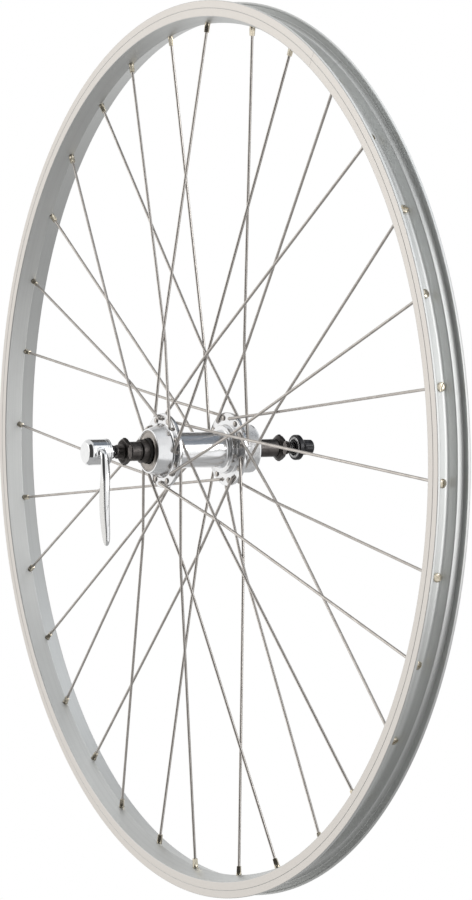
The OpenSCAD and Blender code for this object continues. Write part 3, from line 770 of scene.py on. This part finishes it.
def make_axle():
    """A hollow axle, threaded for a short way in from each end."""
    low, high = span("axle")
    pitch, depth, reach = 1.0, 0.5, 13.0
    outer_r = 4.97

    def thread(r, y, a):
        into = min(y - low, high - y)
        if r < 4 or into > reach or into < 0.3:
            return r, y
        wave = abs(((y / pitch - a / (2 * pi)) % 1) - 0.5) * 2
        return r - depth * min(1, max(0, wave * 1.25 - 0.12)), y

    rows = [(2.75, low + 0.2), (2.95, low), (4.45, low), (outer_r, low + 0.5)]
    rows += [(outer_r, y) for y in places(low + 0.6, low + reach, pitch / 8)]
    rows += [(outer_r, y) for y in places(high - reach, high - 0.6, pitch / 8)]
    rows += [(outer_r, high - 0.5), (4.45, high), (2.95, high), (2.75, high - 0.2)]
    return piece("axle_tube", lathe(rows, 48, thread), "axle", 60)


def make_seal():
    """The rubber ring on the left cone."""
    low, high = span("cone_seals")
    outline = [(8.38, high, 0.2), (8.38, low, 0.3), (8.75, low, 0.2), (9.03, low + 0.5, 0.2), (9.03, high, 0.2)]
    return piece("seal_lip", lathe(soften(outline), 112), "cone_seals")


# ------------------------------------------------------------------ quick release


def keep_cad(node):
    """Keeps a CAD node as it is and gives it its material."""
    obj = frame["nodes"][node]
    obj.data.materials.clear()
    obj.data.materials.append(LOOKS[SLOT_OF[node]])


def make_housing():
    """The round housing of the cam, open towards the hub, with the lever's pivot hole in its side."""
    low, high = span("lever_housing")
    face = high + CLAMP_DEPTH
    cavity_r, cavity_y, seat_r, seat_y, cam_y = 5.6, face - 14.6, 7.4, face - 2.5, face - 9.0
    radius, pivot_r = 9.13, 4.05
    outline = [
        (0, low, 0), (radius - 1.9, low, 1.2), (radius, low + 2.5, 2.8), (radius, high - 2.0, 0.1),
        (radius - 0.12, high - 1.9, 0.1), (radius - 0.12, high - 1.6, 0.1), (radius, high - 1.5, 0.1),
        (radius, high, 0.25), (seat_r, high, 0.15), (seat_r, seat_y, 0.2), (cavity_r, seat_y, 0.2),
        (cavity_r, cavity_y, 0.3), (0, cavity_y, 0),
    ]
    bm = lathe(soften(outline, 6), 192)
    tool = bmesh.new()
    sweep(tool, [(1, cam_y, 0), (8.75, cam_y, 0), (9.6, cam_y, 0)], [pivot_r, pivot_r, 4.6], 48)
    return piece("pivot_housing", carve(bm, tool), "lever_housing")


def make_clamp_ring(name, node, face_high, r_in, r_out, teeth):
    """A hardened ring with radial teeth on the face that bites into the frame: its +Y face if face_high."""
    low, high = span(node)
    face, back, s = (high, low, 1) if face_high else (low, high, -1)
    tooth_depth = 0.28

    def bite(r, y, a):
        if abs(y - face) < 0.02 and r_in + 0.2 < r < r_out - 0.2:
            return r, y - s * tooth_depth * (round(a / (2 * pi) * teeth * 4) % 4 in (1, 2))
        return r, y

    outline = [(r_in, back, 0.1), (r_in, face, 0.12), (r_in + 0.3, face, 0), (r_out - 0.35, face, 0),
               (r_out, face - s * 0.1, 0.25), (r_out, back, 0.15)]
    return piece(name, lathe(soften(outline), teeth * 4, bite), node, 24)


def make_lever():
    """
    The forged lever: a journal in the housing, a bend down, and a blade with a frosted outer face.
    A station is a point, a half width, a half thickness and how square the outline is there.
    """
    cam_y = sum(span("lever")) / 2
    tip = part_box("lever")[0].z / MM
    journal_end, neck_bend, neck_x = 9.45, 4.5, 13.95
    stations = []
    for x, r in ((3.0, 3.9), (8.9, 3.95), (9.1, 3.9), (9.3, 3.4), (journal_end, 2.85)):
        stations.append(((x, cam_y, 0), r, r, 0.0))
    for i in range(1, 11):
        a = radians(90 * i / 10)
        bent = (journal_end + neck_bend * sin(a), cam_y, -neck_bend + neck_bend * cos(a))
        stations.append((bent, 2.8, 2.78, 0.0))
    # Height, half width, half thickness, squareness and shift towards the wheel, down the blade.
    down = [
        (-6.5, 2.85, 2.95, 0.0, 0.25), (-9.5, 2.9, 3.15, 0.05, 0.55), (-13.0, 3.0, 3.2, 0.15, 0.7),
        (-17.0, 3.3, 3.1, 0.35, 0.65), (-21.0, 3.72, 2.95, 0.6, 0.45), (-26.0, 4.12, 2.75, 0.85, 0.2),
        (-31.0, 4.36, 2.6, 1.0, 0.05), (-36.0, 4.47, 2.5, 1.0, 0.05), (-41.0, 4.5, 2.4, 1.0, 0.2),
        (-46.0, 4.45, 2.3, 1.0, 0.45), (-50.0, 4.33, 2.2, 1.0, 0.75), (-54.0, 4.08, 2.05, 1.0, 1.1),
        (-57.5, 3.7, 1.9, 1.0, 1.4), (-60.2, 3.2, 1.75, 1.0, 1.6), (-62.2, 2.55, 1.55, 1.0, 1.72),
        (-63.6, 1.75, 1.25, 1.0, 1.8), (tip + 0.35, 1.0, 0.8, 1.0, 1.84), (tip + 0.06, 0.4, 0.4, 1.0, 1.85),
    ]
    for z, wide, thick, square, shift in down:
        stations.append(((neck_x, cam_y + shift, z), wide, thick, square))

    def outline(i, a):
        _, wide, thick, square = stations[i]
        power = 2 + 1.6 * square
        k = (abs(cos(a)) ** power + abs(sin(a)) ** power) ** (-1 / power)
        return wide * k * cos(a), thick * k * sin(a)

    bm = bmesh.new()
    frost = bm.verts.layers.float.new("frost")
    rings = sweep(bm, [s[0] for s in stations], None, 48, outline, Vector((0, 0, 1)))
    frost_from, frost_fade = 15.5, 5.0
    for ring, (middle, wide, thick, _) in zip(rings, stations):
        field = min(1.0, max(0.0, (-middle[2] - frost_from) / frost_fade))
        for vert in ring:
            outward = vert.co / MM - Vector(middle)
            on_face = outward.y / thick < -0.3 and abs(outward.x) / wide < 0.93
            vert[frost] = field * on_face
    return piece("lever_arm_blade", bm, "lever", 50)


def make_spring(name, node, small_first):
    """A conical coil that fills the CAD spring's box, with its small end at the lower Y if small_first."""
    low, high = span(node)
    y0, y1 = (low, high) if small_first else (high, low)
    wire, turns, narrow, steps = 0.45, 3.5, 3.7, 140
    box_low, box_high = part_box(node)
    wide = max(-box_low.x, box_high.x, -box_low.z, box_high.z) / MM - wire
    s = 1 if y1 > y0 else -1
    path = []
    for i in range(steps + 1):
        t = i / steps
        r = narrow + (wide - narrow) * t
        a = 2 * pi * turns * t
        path.append((r * cos(a), y0 + s * wire + (y1 - y0 - 2 * s * wire) * t, r * sin(a)))
    bm = bmesh.new()
    sweep(bm, path, [wire] * len(path), 12)
    return piece(name, bm, node, 60)


def make_nut():
    """The adjusting nut: a wide flange towards the hub that flares down to a scalloped body."""
    low, high = span("adjusting_nut")
    floor, ring_seat = low + 3.4, low + 1.5
    body, flange, bore_r, spring_r, ring_r = 5.5, 9.3, 2.5, 6.1, 7.65
    outline = [
        (bore_r, floor, 0.15), (spring_r, floor, 0.2), (spring_r, ring_seat, 0.05), (ring_r, ring_seat, 0.1),
        (ring_r, low, 0.15), (flange - 0.05, low, 0.7), (flange - 0.05, floor, 0.8),
        (flange - 1.6, floor + 1.2, 1.2), (body + 0.3, floor + 2.9, 2.4), (body, high - 1.2, 0.6),
        (body - 0.25, high - 0.5, 0.4), (body - 1.0, high, 0.5), (3.1, high, 0.3), (bore_r, high - 0.6, 0.15),
    ]

    def grips(r, y, a):
        """Shallow scallops for the fingers, fading out towards the flange."""
        if y < floor + 3.2 or y > high - 0.9 or r < 5:
            return r, y
        fade = min(1.0, (y - floor - 3.2) / 1.5, (high - 0.9 - y) / 0.8)
        return r - 0.22 * fade * (0.5 + 0.5 * cos(8 * a)) ** 2, y

    rows = soften(outline, 5)
    dense = []
    for (r, y), (r2, y2) in zip(rows, rows[1:] + rows[:1]):
        cuts = 10 if r > 5 and r2 > 5 and abs(y2 - y) > 2.5 and y > floor else 1
        dense += [(r + (r2 - r) * j / cuts, y + (y2 - y) * j / cuts) for j in range(cuts)]
    return piece("grip_nut", lathe(dense, 160, grips), "adjusting_nut")


# ------------------------------------------------------------------ light


def make_world():
    """
    Soft studio surroundings by direction: a level ring, a ring above it, a pale crown and a grey floor.
    The rings are dark behind the camera and white on both sides, with a grey strip beyond the sprocket side.
    """
    world = bpy.data.worlds.new("studio")
    world.use_nodes = True
    nodes = Nodes(world.node_tree)
    nodes.tree.nodes.clear()
    place = nodes.add("ShaderNodeTexCoord").outputs["Generated"]
    x, y, z = nodes.add("ShaderNodeSeparateXYZ", {0: place}).outputs
    turn = nodes.fade(nodes.math("ARCTAN2", y, x), -pi, pi)
    height = nodes.fade(z, -1.0, 1.0)
    plain, warm, cold = (1, 1, 1), (1.0, 0.985, 0.96), (0.82, 0.93, 1.08)

    def around(*stops):
        """Brightness by angle round the vertical in degrees, with a tint where one is given."""
        return nodes.ramp(turn, [
            ((a + 180) / 360, tuple(bright * t for t in (tint[0] if tint else plain)))
            for a, bright, *tint in stops
        ])

    def rise(*stops):
        """A mask by height, which runs from 0 straight down to 1 straight up."""
        return nodes.ramp(height, [(level, (bright,) * 3) for level, bright in stops])

    ring = around(
        (-180, 0.95), (-115, 1.0, warm), (-104, 0.6), (-88, 0.05), (-27, 0.05), (-17, 0.75), (-8, 1.0),
        (46, 1.0), (56, 0.26), (98, 0.26), (114, 0.85), (180, 0.95),
    )
    above = around(
        (-180, 0.75), (-98, 0.7), (-86, 0.05), (-34, 0.05), (-14, 0.85), (15, 0.95), (23, 0.25, cold),
        (108, 0.22, cold), (120, 0.09), (150, 0.09), (163, 0.75), (180, 0.75),
    )
    upper = rise((0.5, 0), (0.715, 0), (0.745, 1), (1.0, 1))
    crown = rise((0.5, 0), (0.945, 0), (0.962, 1), (1.0, 1))
    lower = rise((0.0, 1), (0.17, 1), (0.225, 0), (0.5, 0))
    sky = nodes.blend(crown, nodes.blend(upper, ring, above), (0.80, 0.81, 0.82))
    sky = nodes.blend(lower, sky, (0.42, 0.42, 0.42))
    light = nodes.add("ShaderNodeBackground", {"Color": sky, "Strength": 1.0})
    nodes.add("ShaderNodeOutputWorld", {"Surface": light.outputs[0]})
    bpy.context.scene.world = world


def make_light(name, place, size, power, colour=(1, 1, 1), only=None):
    """A softbox aimed at the wheel's centre, which lights only the given pieces where some are given."""
    data = bpy.data.lights.new(name, "AREA")
    data.shape = "RECTANGLE"
    data.size, data.size_y = size
    data.energy = power
    data.color = colour
    light = bpy.data.objects.new(name, data)
    light.location = place
    light.rotation_mode = "QUATERNION"
    light.rotation_quaternion = (-Vector(place)).to_track_quat("-Z", "Y")
    light.visible_camera = False
    if only:
        light.light_linking.receiver_collection = bpy.data.collections.new(name + "_lights")
        for obj in only:
            light.light_linking.receiver_collection.objects.link(obj)
    bpy.context.scene.collection.objects.link(light)


# ------------------------------------------------------------------ the scene

make_camera()
make_stage()
make_world()
bpy.context.scene.view_settings.view_transform = "Standard"

make_rim()
make_nipples(-1, "nipple_set_left", "nipples_left")
make_nipples(1, "nipple_set_right", "nipples_right")
for number in range(SPOKES):
    make_spoke(number)
make_hub_shell()
make_dust_cap("cap_left", "left_dust_cap", -1)
make_dust_cap("cap_right", "right_dust_cap", 1)
make_cone("cone_left_turned", "left_cone", -1)
make_cone("cone_right_turned", "right_cone", 1)
make_axle()
make_seal()
make_axle_ring("washer_left", "left_lock_washer", 6.7, 0.2)
make_axle_ring("washer_right", "right_lock_washer", 6.7, 0.2)
make_axle_ring("spacer_left", "left_spacer", 6.82, 0.35)
make_axle_ring("spacer_right", "right_spacer", 6.47, 0.35, groove=44.0)
make_locknut("locknut_left_hex", "left_locknut", -1)
make_locknut("locknut_right_hex", "right_locknut", 1)
make_housing()
make_clamp_ring("teeth_left", "lever_clamp_ring", True, 7.42, 9.38, 56)
make_clamp_ring("teeth_right", "nut_clamp_ring", False, 6.12, 7.58, 44)
make_lever()
make_spring("coil_left", "left_spring", False)
coil = make_spring("coil_right", "right_spring", True)
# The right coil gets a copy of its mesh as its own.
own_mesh(coil)
make_nut()
for kept in ("left_cup", "right_cup", "left_balls", "right_balls", "skewer_rod"):
    keep_cad(kept)

# Softboxes: place and size in metres, then power in watts and the pieces that they light.
hoop = [bpy.data.objects["rim_hoop"]]
not_centre = ("rim_hoop", "floor", "backdrop")
centre = [obj for obj in bpy.data.objects if obj.type == "MESH" and obj.name not in not_centre]
small = [obj for obj in centre if obj.name != "hub_body"]
make_light("key", (2.25, 1.65, 0.72), (1.4, 1.2), 20, only=centre)
make_light("fill", (-1.4, -2.6, 0.9), (1.8, 1.8), 9, colour=(1.0, 0.985, 0.96))
make_light("high_softbox", (1.3, 1.5, 1.7), (2.8, 1.3), 11, only=small)
make_light("hoop_softbox", (0.95, 1.45, 1.75), (3.2, 1.6), 11, only=hoop)
make_light("hoop_top", (-0.5, 1.2, 1.9), (2.2, 1.5), 9, only=hoop)
make_light("hoop_front", (2.5, 0.6, 0.4), (0.9, 4.2), 22, only=hoop)
